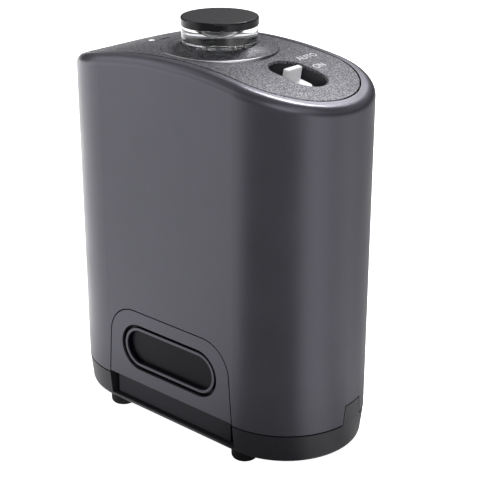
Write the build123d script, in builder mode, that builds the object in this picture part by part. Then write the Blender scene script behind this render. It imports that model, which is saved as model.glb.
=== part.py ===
from build123d import *
from math import asin, cos, radians, sin, sqrt, tan
import os

# Virtual wall beacon of a robot vacuum cleaner.
# Millimetres, +Z up, the press tongue faces -Y.
# The origin is on the floor, under the middle of the case.

# Case
body_width = 100.0
body_depth = 48.0
seam_height = 12.3
crown_height = 117.2
crown_radius = 153.0
rim_fillet = 3.0
wall = 2.2
seam_gap = 0.45
overcut = 1.0

# Top panel and the deck under it
panel_inset = 4.1
panel_groove = 0.5
panel_thickness = 2.0
deck_thickness = 2.0
glue_gap = 0.1

# Pedestal and halo emitter
pedestal_radius = 17.2
pedestal_rim_drop = 0.15
pedestal_rise = 1.3
pedestal_root = 1.5
pedestal_sag = 0.35
pedestal_edge = 0.45
lens_radius = 11.05
lens_rise = 6.75
lens_clearance = 0.15
lens_flange = 1.6
lens_flange_thickness = 1.0
lens_edge = 0.3
cap_radius = 11.3
cap_thickness = 2.2
cap_fillet = 0.5
bowl_radius = 6.2
bowl_depth = 3.5
bowl_gap = 0.35
led_recess_radius = 3.4
led_recess_depth = 2.3

# Switch
switch_land = 3.1
slot_length = 17.6
slot_width = 11.4
slot_chamfer = 0.5
knob_length = 7.0
knob_rest = 0.3
knob_width = 6.6
knob_corner = 1.5
knob_plate = 1.2
knob_sink = 3.0
nub_thickness = 1.9
nub_width = 6.4
nub_height = 3.8
nub_fillet = 0.45
nub_land = 0.3
stem_width = 2.0
stem_stand = 1.9
stem_room = 0.6
switch_travel = 3.5
slide_clearance = 0.3
guide_wall = 1.2
guide_floor = 1.0
slot_lip = 0.7

# Indicator
indicator_end_inset = 22.2
pipe_radius = 1.1
pipe_clearance = 0.15
pipe_proud = 0.15
pipe_flange = 0.8
pipe_dome = 0.55

# Press tongue and its hinge
tongue_top = 37.55
tongue_foot_half = 26.0
tongue_lean = 4.4
tongue_corner = 10.5
tongue_gap = 0.4
tongue_thickness = 3.0
tongue_edge = 0.8
band_inset = 2.2
band_setback = 1.8
band_foot = 5.7
oval_length = 39.6
oval_height = 15.3
oval_centre = 25.3
oval_groove_width = 1.2
oval_groove_depth = 1.7
oval_ring_width = 0.8
oval_ring_depth = 0.3
oval_field_depth = 1.5
lip_rise = 1.8
lip_root = 3.6
lip_thickness = 1.2
lip_half = 14.0
pin_setback = 6.9
pin_z = 8.0
pin_radius = 0.8
pin_clearance = 0.15
knuckle_radius = 1.7
knuckle_x = 16.0
knuckle_width = 5.0
lug_width = 2.6
lug_gap = 0.3

# Base
base_bottom = 3.3
base_floor = 5.0
base_draft = 6.0
base_fillet = 1.6
locating_lip = 1.5
locating_lip_height = 4.0
locating_gap = 0.3
bay_room = 4.4
tab_height = 6.1
tab_reach = 4.5
tab_centre_y = 2.7
tab_width = 9.4
tab_taper = 1.1
tab_gap = 0.35

# Feet
foot_end_inset = 24.0
foot_side_inset = 5.6
foot_radius = 4.0
foot_fillet = 1.2
foot_seat = 0.8

# Cells and chassis
cell_radius = 13.1
cell_length = 50.0
cell_nub_radius = 3.4
cell_nub_height = 1.5
cell_bottom = 9.4
cell_pitch = 27.8
cell_edge = 0.8
cradle_clearance = 0.4
cradle_wall = 1.6
cradle_bottom = 17.7
contact_room = 1.8
chassis_deck = 2.5
chassis_clearance = 0.6
boss_end_inset = 9.0
boss_land = 1.1
boss_radius = 3.0
pilot_radius = 1.1
pilot_depth = 10.0
screw_radius = 1.05
screw_head_radius = 2.4
screw_head_height = 1.6
screw_head_dome = 0.8
screw_length = 9.0
screw_clearance = 0.35
contact_width = 6.0
contact_thickness = 0.4
contact_riser_inset = 13.0
contact_rest_gap = 0.3
riser_clearance = 0.6
bridge_arm = 9.0

# Circuit board
board_drop = 13.0
board_thickness = 1.6
board_end_inset = 14.0
board_side_inset = 7.0
board_corner = 4.0
board_boss_end_inset = 16.0
board_boss_side_inset = 3.4
board_boss_radius = 2.4
board_screw_length = 6.0
board_pilot_depth = 5.0
switch_body_length = 13.0
switch_body_width = 7.0
switch_body_height = 3.2
switch_body_wall = 1.0
switch_body_floor = 0.6
led_radius = 2.5
led_length = 6.6
led_dome = 2.2
led_rim = 0.4
led_rim_thickness = 1.0
led_gap = 1.0
led_leg = 0.6
led_leg_pitch = 2.54
holder_radius = 4.2
small_led_size = 2.0
small_led_height = 1.2
chip_length = 9.0
chip_width = 6.0
chip_height = 1.8
chip_end_inset = 12.0
capacitor_radius = 3.2
capacitor_length = 9.0

# Barrier beam on the round end at -X
beam_drop = 30.0
beam_tube_radius = 4.6
beam_tube_bore = 3.3
beam_clearance = 0.15
beam_boss_radius = 7.0
beam_boss_reach = 6.5
beam_flange_radius = 6.4
beam_flange_thickness = 1.2
beam_tube_length = 15.0
beam_recess = 1.0
beam_window_thickness = 1.2
beam_window_radius = 3.9

# Derived places
half_width = body_width / 2
half_depth = body_depth / 2
switch_x = pedestal_radius + switch_land + slot_length / 2
indicator_x = indicator_end_inset - half_width
pin_y = pin_setback - half_depth
foot_x = half_width - foot_end_inset
foot_y = half_depth - foot_side_inset
boss_x = half_width - boss_end_inset
boss_y = beam_flange_radius + boss_radius + boss_land
contact_riser_y = half_depth - contact_riser_inset
board_length = body_width - 2 * board_end_inset
board_depth = body_depth - 2 * board_side_inset
board_top = crown_height - board_drop
board_boss_x = board_length / 2 - board_boss_end_inset
board_boss_y = board_depth / 2 - board_boss_side_inset
chip_x = board_length / 2 - chip_end_inset
beam_height = crown_height - beam_drop
lens_top = crown_height + lens_rise
housing_bottom = seam_height + seam_gap
arch_centre = crown_height - crown_radius
ceiling_drop = panel_thickness + deck_thickness
boss_root_drop = panel_thickness + deck_thickness / 2
switch_tilt = asin(switch_x / crown_radius)
tongue_slope = tan(radians(tongue_lean))
cell_top = cell_bottom + cell_length
chassis_bottom = cell_top + contact_room
chassis_top = chassis_bottom + chassis_deck
board_bottom = board_top - board_thickness
pedestal_rim = crown_height - pedestal_rim_drop
lens_seat = crown_height + pedestal_rise
flange_radius = lens_radius + lens_flange
flange_bottom = crown_height - panel_thickness + glue_gap
flange_top = flange_bottom + lens_flange_thickness
led_top = flange_bottom + led_recess_depth - led_gap
led_bottom = led_top - led_length

os.makedirs("parts", exist_ok=True)


def arch_height(x, drop=0.0):
    """Height of the arched top at x, with the arch pulled in by drop."""
    return arch_centre + sqrt((crown_radius - drop) ** 2 - x ** 2)


def arched_form(inset, bottom, drop):
    """Block of the case's plan, pulled in by inset, from bottom up to the arch pulled in by drop."""
    with BuildPart() as form:
        with BuildSketch(Plane.XY.offset(bottom)):
            SlotOverall(body_width - 2 * inset, body_depth - 2 * inset)
        extrude(amount=crown_height - drop + overcut - bottom)
        with BuildSketch(Plane.XZ):
            with Locations((0, arch_centre)):
                Circle(crown_radius - drop)
        extrude(amount=body_depth, both=True, mode=Mode.INTERSECT)
    return form.part


def arched_layer(inset, top_drop, bottom_drop):
    """Curved sheet of the case's plan between two depths below the arch."""
    low = arch_height(half_width, bottom_drop) - overcut
    upper = arched_form(inset, low, top_drop)
    lower = arched_form(0, low - overcut, bottom_drop)
    with BuildPart() as layer:
        add(upper)
        add(lower, mode=Mode.SUBTRACT)
    return layer.part


def tongue_outline(grow, foot):
    """Inverted U of the press tongue on a front plane, with its edge moved out by grow, down to foot."""
    top = tongue_top + grow
    slope_side = grow / cos(radians(tongue_lean))
    foot_half = tongue_foot_half + slope_side + (seam_height - foot) * tongue_slope
    top_half = tongue_foot_half + slope_side - (top - seam_height) * tongue_slope
    with BuildSketch(Plane.XZ.offset(half_depth)) as outline:
        with BuildLine():
            Polyline((-foot_half, foot), (-top_half, top), (top_half, top), (foot_half, foot), close=True)
        make_face()
        fillet(outline.vertices().group_by(Axis.Y)[-1], tongue_corner + grow)
    return outline.sketch


def tab_outline(grow, foot):
    """Trapezium of the base's end tab on the plane of the +X end, with its edge moved out by grow."""
    top = seam_height + tab_height + grow
    half = tab_width / 2 + grow
    with BuildSketch(Plane.YZ.offset(half_width - tab_reach)) as outline:
        with BuildLine():
            left = tab_centre_y - half
            right = tab_centre_y + half
            Polyline((left, foot), (left + tab_taper, top), (right - tab_taper, top), (right, foot), close=True)
        make_face()
    return outline.sketch


switch_plane = Plane(
    origin=(switch_x, 0, arch_height(switch_x)),
    x_dir=(cos(switch_tilt), 0, -sin(switch_tilt)),
    z_dir=(sin(switch_tilt), 0, cos(switch_tilt)),
)
beam_plane = Plane(origin=(-half_width, 0, beam_height), x_dir=(0, 1, 0), z_dir=(1, 0, 0))

# Housing: one moulded shell, open below, with a deck under the top panel
housing_block = arched_form(0, housing_bottom, 0)
housing_cavity = arched_form(wall, seam_height, ceiling_drop)
panel_pocket = arched_layer(panel_inset, -overcut, panel_thickness)
tongue_notch = tongue_outline(0, seam_height - overcut)
tab_notch = tab_outline(tab_gap, seam_height - overcut)
guide_length = slot_length + 2 * slide_clearance + 2 * guide_wall
guide_width = slot_width + 2 * slide_clearance + 2 * guide_wall

with BuildPart() as housing:
    add(housing_block)
    fillet(housing.faces().sort_by(Axis.Z)[-1].edges(), rim_fillet)
    add(housing_cavity, mode=Mode.SUBTRACT)
    add(panel_pocket, mode=Mode.SUBTRACT)
    # Ways through the deck for the emitter, the switch and the indicator
    with BuildSketch(Plane.XY.offset(crown_height)):
        Circle(lens_radius + lens_clearance)
        with Locations((indicator_x, 0)):
            Circle(pipe_radius + pipe_clearance)
    extrude(amount=-(crown_height - board_top), mode=Mode.SUBTRACT)
    with BuildSketch(switch_plane):
        SlotOverall(guide_length + 2 * slide_clearance, guide_width + 2 * slide_clearance)
    extrude(amount=-(ceiling_drop + overcut), mode=Mode.SUBTRACT)
    # Screw bosses for the chassis and the circuit board
    with BuildSketch(Plane.XY.offset(chassis_top)):
        with GridLocations(2 * boss_x, 2 * boss_y, 2, 2):
            Circle(boss_radius)
    extrude(amount=arch_height(boss_x, boss_root_drop) - chassis_top)
    with BuildSketch(Plane.XY.offset(chassis_top)):
        with GridLocations(2 * boss_x, 2 * boss_y, 2, 2):
            Circle(pilot_radius)
    extrude(amount=pilot_depth, mode=Mode.SUBTRACT)
    with BuildSketch(Plane.XY.offset(board_top)):
        with GridLocations(2 * board_boss_x, 2 * board_boss_y, 2, 2):
            Circle(board_boss_radius)
    extrude(amount=arch_height(board_boss_x, boss_root_drop) - board_top)
    with BuildSketch(Plane.XY.offset(board_top)):
        with GridLocations(2 * board_boss_x, 2 * board_boss_y, 2, 2):
            Circle(pilot_radius)
    extrude(amount=board_pilot_depth, mode=Mode.SUBTRACT)
    # Flat-ended boss behind the beam hole
    with BuildSketch(beam_plane.offset(wall / 2)):
        Circle(beam_boss_radius)
    extrude(amount=wall / 2 + beam_boss_reach)
    with BuildSketch(beam_plane.offset(-overcut)):
        Circle(beam_tube_radius + beam_clearance)
    extrude(amount=overcut + wall + beam_boss_reach, mode=Mode.SUBTRACT)
    # Notches for the press tongue and the end tab
    extrude(tongue_notch, amount=-(wall + overcut), mode=Mode.SUBTRACT)
    extrude(tab_notch, amount=tab_reach + overcut, mode=Mode.SUBTRACT)
housing.part.label = "housing"
export_step(housing.part, "parts/housing.step")

# Top panel: curved inlay with the raised pedestal, the switch slot and the indicator hole
panel_sheet = arched_layer(panel_inset + panel_groove, 0, panel_thickness - glue_gap)
slot_floor_form = arched_form(0, seam_height, slot_lip)
with BuildPart() as top_panel:
    add(panel_sheet)
    with BuildSketch(Plane.XZ) as pedestal:
        with BuildLine():
            rim_foot = (pedestal_radius, crown_height - pedestal_root)
            rim_edge = (pedestal_radius, pedestal_rim)
            seat_edge = (lens_radius + lens_clearance, lens_seat)
            Polyline(seat_edge, (seat_edge[0], rim_foot[1]), rim_foot, rim_edge)
            SagittaArc(rim_edge, seat_edge, pedestal_sag)
        make_face()
        fillet(pedestal.vertices().group_by(Axis.X)[-1].sort_by(Axis.Y)[-1], pedestal_edge)
    revolve(axis=Axis.Z)
    with BuildSketch(Plane.XY.offset(lens_seat)):
        Circle(lens_radius + lens_clearance)
    extrude(amount=panel_thickness + pedestal_rise + overcut, mode=Mode.SUBTRACT, both=True)
    with BuildSketch(Plane.XY.offset(flange_top + glue_gap)):
        Circle(flange_radius + lens_clearance)
    extrude(amount=-(panel_thickness + overcut), mode=Mode.SUBTRACT)
    with BuildSketch(Plane.XY.offset(crown_height)):
        with Locations((indicator_x, 0)):
            Circle(pipe_radius + pipe_clearance)
    extrude(amount=arch_height(indicator_x, ceiling_drop) - crown_height, mode=Mode.SUBTRACT)
    with BuildSketch(switch_plane):
        SlotOverall(slot_length, slot_width)
    extrude(amount=panel_thickness + overcut, both=True, mode=Mode.SUBTRACT)
    with BuildSketch(switch_plane):
        SlotOverall(guide_length + 2 * slide_clearance, guide_width + 2 * slide_clearance)
    collar_bore = extrude(amount=-(ceiling_drop + overcut), mode=Mode.PRIVATE)
    add(collar_bore & slot_floor_form, mode=Mode.SUBTRACT)
    slot_edges = [
        edge
        for edge in top_panel.edges().filter_by(lambda e: e.geom_type != GeomType.LINE)
        if abs(edge.center().X - switch_x) < slot_length / 2
        and abs(edge.center().Y) < slot_width
        and edge.center().Z > arch_height(edge.center().X, slot_lip / 2)
    ]
    chamfer(slot_edges, slot_chamfer)
top_panel.part.label = "top_panel"
export_step(top_panel.part, "parts/top_panel.step")

# Emitter lens: clear block with a flange under the panel, a bowl in its top and a recess for the LED below
bowl_bottom = lens_top - bowl_depth
recess_top = flange_bottom + led_recess_depth
with BuildPart() as emitter_lens:
    with BuildSketch(Plane.XZ):
        with BuildLine():
            bowl = TangentArc((0, bowl_bottom), (bowl_radius, lens_top), tangent=(1, 0))
            Polyline(
                bowl @ 1,
                (lens_radius, lens_top),
                (lens_radius, flange_top),
                (flange_radius, flange_top),
                (flange_radius, flange_bottom),
                (led_recess_radius, flange_bottom),
                (led_recess_radius, recess_top),
                (0, recess_top),
                bowl @ 0,
            )
        make_face()
    revolve(axis=Axis.Z)
    outer_rim = emitter_lens.edges().filter_by(GeomType.CIRCLE).group_by(Axis.Z)[-1].sort_by(SortBy.RADIUS)[-1]
    fillet(outer_rim, lens_edge)
emitter_lens.part.label = "emitter_lens"
export_step(emitter_lens.part, "parts/emitter_lens.step")

# Emitter cap: black disc on the lens
with BuildPart() as emitter_cap:
    with BuildSketch(Plane.XY.offset(lens_top)):
        Circle(cap_radius)
    extrude(amount=cap_thickness)
    fillet(emitter_cap.faces().sort_by(Axis.Z)[-1].edges(), cap_fillet)
emitter_cap.part.label = "emitter_cap"
export_step(emitter_cap.part, "parts/emitter_cap.step")

# Reflector plug under the cap, in the lens's bowl with an air gap that turns the light sideways
with BuildPart() as reflector_plug:
    with BuildSketch(Plane.XZ):
        with BuildLine():
            belly = TangentArc((0, bowl_bottom + bowl_gap), (bowl_radius - bowl_gap, lens_top), tangent=(1, 0))
            Polyline(belly @ 1, (0, lens_top), belly @ 0)
        make_face()
    revolve(axis=Axis.Z)
reflector_plug.part.label = "reflector_plug"
export_step(reflector_plug.part, "parts/reflector_plug.step")

# Halo LED on legs, with its holder on the circuit board
with BuildPart() as halo_led:
    with BuildSketch(Plane.XY.offset(led_bottom)):
        Circle(led_radius)
    extrude(amount=led_length)
    fillet(halo_led.faces().sort_by(Axis.Z)[-1].edges(), led_dome)
    with BuildSketch(Plane.XY.offset(led_bottom)):
        Circle(led_radius + led_rim)
    extrude(amount=led_rim_thickness)
    with BuildSketch(Plane.XY.offset(board_bottom)):
        with GridLocations(led_leg_pitch, 0, 2, 1):
            Rectangle(led_leg, led_leg)
    extrude(amount=led_bottom - board_bottom)
halo_led.part.label = "halo_led"
export_step(halo_led.part, "parts/halo_led.step")

with BuildPart() as led_holder:
    with BuildSketch(Plane.XY.offset(board_top)):
        Circle(holder_radius)
        with GridLocations(led_leg_pitch, 0, 2, 1):
            Circle(led_leg, mode=Mode.SUBTRACT)
    extrude(amount=led_bottom - board_top)
led_holder.part.label = "led_holder"
export_step(led_holder.part, "parts/led_holder.step")

# Switch knob: nub on a plate, with a stem down into the switch on the board
stem_drop = knob_sink + knob_plate
stem_reach = (arch_height(switch_x) - board_top - stem_stand) / cos(switch_tilt)
stem_length = stem_reach - stem_drop
nub_x = knob_rest - knob_length / 2 + nub_land + nub_thickness / 2
switch_body_x = switch_x - stem_reach * sin(switch_tilt)
with BuildPart() as switch_knob:
    with BuildSketch(switch_plane.offset(-knob_sink)):
        with Locations((knob_rest, 0)):
            RectangleRounded(knob_length, knob_width, knob_corner)
    extrude(amount=-knob_plate)
    with BuildSketch(switch_plane.offset(-knob_sink)):
        with Locations((nub_x, 0)):
            RectangleRounded(nub_thickness, nub_width, nub_fillet)
    extrude(amount=nub_height)
    fillet(switch_knob.faces().sort_by(Axis(switch_plane.origin, switch_plane.z_dir))[-1].edges(), nub_fillet)
    with BuildSketch(switch_plane.offset(-stem_drop)):
        Rectangle(stem_width, stem_width)
    extrude(amount=-stem_length)
switch_knob.part.label = "switch_knob"
export_step(switch_knob.part, "parts/switch_knob.step")

# Switch guide: black tray under the slot that the knob slides in
guide_top = arched_form(0, seam_height, slot_lip + glue_gap)
guide_depth = stem_drop + slide_clearance
with BuildPart() as switch_guide:
    with BuildSketch(switch_plane):
        SlotOverall(guide_length, guide_width)
    extrude(amount=-(guide_depth + guide_floor))
    with BuildSketch(switch_plane):
        SlotOverall(guide_length - 2 * guide_wall, guide_width - 2 * guide_wall)
    extrude(amount=-guide_depth, mode=Mode.SUBTRACT)
    with BuildSketch(switch_plane):
        SlotOverall(stem_width + 2 * (switch_travel + stem_width), stem_width + 2 * slide_clearance)
    extrude(amount=-(guide_depth + guide_floor + overcut), mode=Mode.SUBTRACT)
    add(guide_top, mode=Mode.INTERSECT)
switch_guide.part.label = "switch_guide"
export_step(switch_guide.part, "parts/switch_guide.step")

# Slide switch on the board, open on top for the stem
with BuildPart() as slide_switch_body:
    with BuildSketch(Plane.XY.offset(board_top)):
        with Locations((switch_body_x, 0)):
            Rectangle(switch_body_length, switch_body_width)
    extrude(amount=switch_body_height)
    with BuildSketch(Plane.XY.offset(board_top + switch_body_floor)):
        with Locations((switch_body_x, 0)):
            Rectangle(switch_body_length - 2 * switch_body_wall, stem_width + 2 * stem_room)
    extrude(amount=switch_body_height, mode=Mode.SUBTRACT)
slide_switch_body.part.label = "slide_switch_body"
export_step(slide_switch_body.part, "parts/slide_switch_body.step")

# Indicator: light pipe in the panel over a small LED
pipe_top = arch_height(indicator_x) + pipe_proud
pipe_bottom = board_top + small_led_height + glue_gap
with BuildPart() as indicator_light_pipe:
    with BuildSketch(Plane.XY.offset(pipe_bottom)):
        with Locations((indicator_x, 0)):
            Circle(pipe_radius)
    extrude(amount=pipe_top - pipe_bottom)
    fillet(indicator_light_pipe.faces().sort_by(Axis.Z)[-1].edges(), pipe_dome)
    with BuildSketch(Plane.XY.offset(pipe_bottom)):
        with Locations((indicator_x, 0)):
            Circle(pipe_radius + pipe_flange)
    extrude(amount=pipe_flange)
indicator_light_pipe.part.label = "indicator_light_pipe"
export_step(indicator_light_pipe.part, "parts/indicator_light_pipe.step")

with BuildPart() as indicator_led:
    with BuildSketch(Plane.XY.offset(board_top)):
        with Locations((indicator_x, 0)):
            Rectangle(small_led_size, small_led_size)
    extrude(amount=small_led_height)
indicator_led.part.label = "indicator_led"
export_step(indicator_led.part, "parts/indicator_led.step")

# Circuit board under the deck, with its parts hanging below
with BuildPart() as circuit_board:
    with BuildSketch(Plane.XY.offset(board_bottom)):
        RectangleRounded(board_length, board_depth, board_corner)
        with GridLocations(2 * board_boss_x, 2 * board_boss_y, 2, 2):
            Circle(screw_radius + screw_clearance, mode=Mode.SUBTRACT)
        with GridLocations(led_leg_pitch, 0, 2, 1):
            Circle(led_leg, mode=Mode.SUBTRACT)
    extrude(amount=board_thickness)
circuit_board.part.label = "circuit_board"
export_step(circuit_board.part, "parts/circuit_board.step")

with BuildPart() as board_components:
    with BuildSketch(Plane.XY.offset(board_bottom)):
        with Locations((board_boss_x / 2, -board_boss_y / 2), (chip_x, board_boss_y / 2)):
            Rectangle(chip_length, chip_width)
    extrude(amount=-chip_height)
    with BuildSketch(Plane.XY.offset(board_bottom)):
        with GridLocations(2 * board_boss_x, 0, 2, 1):
            with Locations((0, -board_boss_y / 2)):
                Circle(capacitor_radius)
    extrude(amount=-capacitor_length)
board_components.part.label = "board_components"
export_step(board_components.part, "parts/board_components.step")


def pan_screws(half_x, half_y, seat, length):
    """Four pan-head screws that stand up from a seat, heads below it."""
    with BuildPart() as screws:
        with BuildSketch(Plane.XY.offset(seat)):
            with GridLocations(2 * half_x, 2 * half_y, 2, 2):
                Circle(screw_radius)
        extrude(amount=length)
        with BuildSketch(Plane.XY.offset(seat)):
            with GridLocations(2 * half_x, 2 * half_y, 2, 2):
                Circle(screw_head_radius)
        extrude(amount=-screw_head_height)
        fillet(screws.faces().group_by(Axis.Z)[0].edges(), screw_head_dome)
    return screws


board_screws = pan_screws(board_boss_x, board_boss_y, board_bottom, board_screw_length)
board_screws.part.label = "board_screws"
export_step(board_screws.part, "parts/board_screws.step")

chassis_screws = pan_screws(boss_x, boss_y, chassis_bottom, screw_length)
chassis_screws.part.label = "chassis_screws"
export_step(chassis_screws.part, "parts/chassis_screws.step")

# Barrier beam: tube in the round end, dark window outside, LED inside
with BuildPart() as beam_tube:
    with BuildSketch(beam_plane.offset(beam_recess)):
        Circle(beam_tube_radius)
    extrude(amount=beam_tube_length)
    with BuildSketch(beam_plane.offset(wall + beam_boss_reach)):
        Circle(beam_flange_radius)
    extrude(amount=beam_flange_thickness)
    with BuildSketch(beam_plane):
        Circle(beam_tube_bore)
    extrude(amount=body_depth, mode=Mode.SUBTRACT)
    with BuildSketch(beam_plane):
        Circle(beam_window_radius + glue_gap)
    extrude(amount=beam_recess + beam_window_thickness, mode=Mode.SUBTRACT)
beam_tube.part.label = "beam_tube"
export_step(beam_tube.part, "parts/beam_tube.step")

with BuildPart() as beam_window:
    with BuildSketch(beam_plane.offset(beam_recess)):
        Circle(beam_window_radius)
    extrude(amount=beam_window_thickness)
beam_window.part.label = "beam_window"
export_step(beam_window.part, "parts/beam_window.step")

beam_led_back = beam_recess + beam_tube_length + led_rim_thickness
with BuildPart() as beam_led:
    with BuildSketch(beam_plane.offset(beam_led_back - led_rim_thickness)):
        Circle(led_radius)
    extrude(amount=-led_length)
    fillet(beam_led.faces().sort_by(Axis.X)[0].edges(), led_dome)
    with BuildSketch(beam_plane.offset(beam_led_back)):
        Circle(beam_tube_bore + led_rim)
    extrude(amount=-led_rim_thickness)
    with BuildSketch(beam_plane.offset(beam_led_back)):
        with GridLocations(led_leg_pitch, 0, 2, 1):
            Rectangle(led_leg, led_leg)
    extrude(amount=led_leg_pitch)
    with BuildSketch(Plane.XY.offset(beam_height - led_leg / 2)):
        with Locations((-half_width + beam_led_back + led_leg_pitch - led_leg / 2, 0)):
            with GridLocations(0, led_leg_pitch, 1, 2):
                Rectangle(led_leg, led_leg)
    extrude(amount=board_bottom - beam_height + led_leg / 2)
beam_led.part.label = "beam_led"
export_step(beam_led.part, "parts/beam_led.step")

# Battery chassis: two cradles under a deck that is screwed to the housing's long bosses
contact_slot = contact_width + 2 * slide_clearance
with BuildPart() as battery_chassis:
    with BuildSketch(Plane.XY.offset(cradle_bottom)):
        with GridLocations(cell_pitch, 0, 2, 1):
            Circle(cell_radius + cradle_clearance + cradle_wall)
    extrude(amount=chassis_bottom - cradle_bottom)
    with BuildSketch(Plane.XY.offset(cradle_bottom)):
        with GridLocations(cell_pitch, 0, 2, 1):
            Circle(cell_radius + cradle_clearance)
    extrude(amount=chassis_bottom - cradle_bottom, mode=Mode.SUBTRACT)
    with BuildSketch(Plane.XY.offset(chassis_bottom)):
        inset = wall + chassis_clearance
        SlotOverall(body_width - 2 * inset, body_depth - 2 * inset)
        with GridLocations(2 * boss_x, 2 * boss_y, 2, 2):
            Circle(screw_radius + screw_clearance, mode=Mode.SUBTRACT)
        with Locations((0, contact_riser_y)):
            with GridLocations(cell_pitch, 0, 2, 1):
                Rectangle(contact_slot, contact_thickness + 2 * riser_clearance, mode=Mode.SUBTRACT)
    extrude(amount=chassis_deck)
battery_chassis.part.label = "battery_chassis"
export_step(battery_chassis.part, "parts/battery_chassis.step")

# Two cells, one each way up
for number, side in ((1, -1), (2, 1)):
    upright = side < 0
    can_bottom = cell_bottom if upright else cell_bottom + cell_nub_height
    nub_bottom = cell_top - cell_nub_height if upright else cell_bottom
    with BuildPart() as battery_cell:
        with BuildSketch(Plane.XY.offset(can_bottom)):
            with Locations((side * cell_pitch / 2, 0)):
                Circle(cell_radius)
        extrude(amount=cell_length - cell_nub_height)
        fillet(battery_cell.edges().filter_by(GeomType.CIRCLE), cell_edge)
        with BuildSketch(Plane.XY.offset(nub_bottom)):
            with Locations((side * cell_pitch / 2, 0)):
                Circle(cell_nub_radius)
        extrude(amount=cell_nub_height)
    battery_cell.part.label = f"battery_cell_{number}"
    export_step(battery_cell.part, f"parts/battery_cell_{number}.step")

# Contacts over the cells: a plate under the chassis deck and a riser to the board
for name, side in (("positive_contact", -1), ("negative_contact", 1)):
    contact_x = side * cell_pitch / 2
    with BuildPart() as cell_contact:
        with BuildSketch(Plane.YZ.offset(contact_x)):
            with BuildLine():
                plate_low = chassis_bottom - contact_thickness
                spring_low = cell_top
                Polyline(
                    (contact_riser_y + contact_thickness / 2, board_bottom),
                    (contact_riser_y + contact_thickness / 2, plate_low),
                    (-cell_nub_radius, plate_low),
                    (-cell_nub_radius, spring_low),
                    (-cell_nub_radius - contact_thickness, spring_low),
                    (-cell_nub_radius - contact_thickness, chassis_bottom),
                    (contact_riser_y - contact_thickness / 2, chassis_bottom),
                    (contact_riser_y - contact_thickness / 2, board_bottom),
                    close=True,
                )
            make_face()
        extrude(amount=contact_width / 2, both=True)
    cell_contact.part.label = name
    export_step(cell_contact.part, f"parts/{name}.step")

# Base cover: tapered skirt, bottom plate, locating lip, end tab and the lugs of the tongue's hinge
skirt_height = seam_height - base_bottom
skirt_inner = wall + locating_gap + locating_lip
base_tab = tab_outline(0, seam_height)
tab_limit = arched_form(0, base_floor, 0)
bay_depth = skirt_inner + bay_room

with BuildPart() as tab_block:
    extrude(base_tab, amount=tab_reach + overcut)
    add(tab_limit, mode=Mode.INTERSECT)
    with BuildSketch(Plane.XY.offset(base_floor)):
        SlotOverall(body_width - 2 * wall, body_depth - 2 * wall)
    extrude(amount=crown_height, mode=Mode.SUBTRACT)

with BuildPart() as base_cover:
    with BuildSketch(Plane.XY.offset(seam_height)):
        SlotOverall(body_width, body_depth)
    extrude(amount=-skirt_height, taper=base_draft)
    fillet(base_cover.faces().sort_by(Axis.Z)[0].edges(), base_fillet)
    with BuildSketch(Plane.XY.offset(seam_height)):
        lip_inset = wall + locating_gap
        SlotOverall(body_width - 2 * lip_inset, body_depth - 2 * lip_inset)
    extrude(amount=locating_lip_height)
    with BuildSketch(Plane.XY.offset(base_floor)):
        SlotOverall(body_width - 2 * skirt_inner, body_depth - 2 * skirt_inner)
    extrude(amount=crown_height, mode=Mode.SUBTRACT)
    add(tab_block.part)
    # Bay for the press tongue
    with BuildSketch(Plane.XY.offset(base_floor)):
        with Locations((0, -half_depth)):
            Rectangle(2 * tongue_foot_half, 2 * bay_depth)
    extrude(amount=crown_height, mode=Mode.SUBTRACT)
    # Hinge lugs either side of each knuckle
    lug_shift = knuckle_width / 2 + lug_gap + lug_width / 2
    for centre in (-knuckle_x, knuckle_x):
        for shift in (-lug_shift, lug_shift):
            with BuildSketch(Plane.YZ.offset(centre + shift)):
                with Locations((pin_y, pin_z)):
                    Circle(knuckle_radius)
                with Locations((pin_y, (base_floor + pin_z) / 2)):
                    Rectangle(2 * knuckle_radius, pin_z - base_floor)
                with Locations((pin_y, pin_z)):
                    Circle(pin_radius, mode=Mode.SUBTRACT)
            extrude(amount=lug_width / 2, both=True)
    # Seats for the feet
    with BuildSketch(Plane.XY):
        with GridLocations(2 * foot_x, 2 * foot_y, 2, 2):
            Circle(foot_radius)
    extrude(amount=base_bottom + foot_seat, mode=Mode.SUBTRACT)
base_cover.part.label = "base_cover"
export_step(base_cover.part, "parts/base_cover.step")

# Pin of the tongue's hinge
pin_half = knuckle_x + lug_shift + lug_width / 2
with BuildPart() as latch_pin:
    with BuildSketch(Plane.YZ):
        with Locations((pin_y, pin_z)):
            Circle(pin_radius)
    extrude(amount=pin_half, both=True)
latch_pin.part.label = "latch_pin"
export_step(latch_pin.part, "parts/latch_pin.step")

# Bridge contact: strip on the base floor with two sprung arms under the cells
arm_top = cell_bottom - contact_rest_gap
with BuildPart() as bridge_contact:
    with BuildSketch(Plane.XY.offset(base_floor)):
        Rectangle(cell_pitch + 2 * bridge_arm, contact_width)
    extrude(amount=contact_thickness)
    for side in (-1, 1):
        with BuildSketch(Plane.XZ):
            with BuildLine():
                arm_start = side * (cell_pitch / 2 - bridge_arm)
                arm_end = side * (cell_pitch / 2 + bridge_arm)
                peak = side * cell_pitch / 2
                outer = ThreePointArc((arm_start, base_floor), (peak, arm_top), (arm_end, base_floor))
                inner = ThreePointArc(
                    (arm_end - side * contact_thickness, base_floor),
                    (peak, arm_top - contact_thickness),
                    (arm_start + side * contact_thickness, base_floor),
                )
                Line(outer @ 1, inner @ 0)
                Line(inner @ 1, outer @ 0)
            make_face()
        extrude(amount=contact_width / 2, both=True)
bridge_contact.part.label = "bridge_contact"
export_step(bridge_contact.part, "parts/bridge_contact.step")

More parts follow.
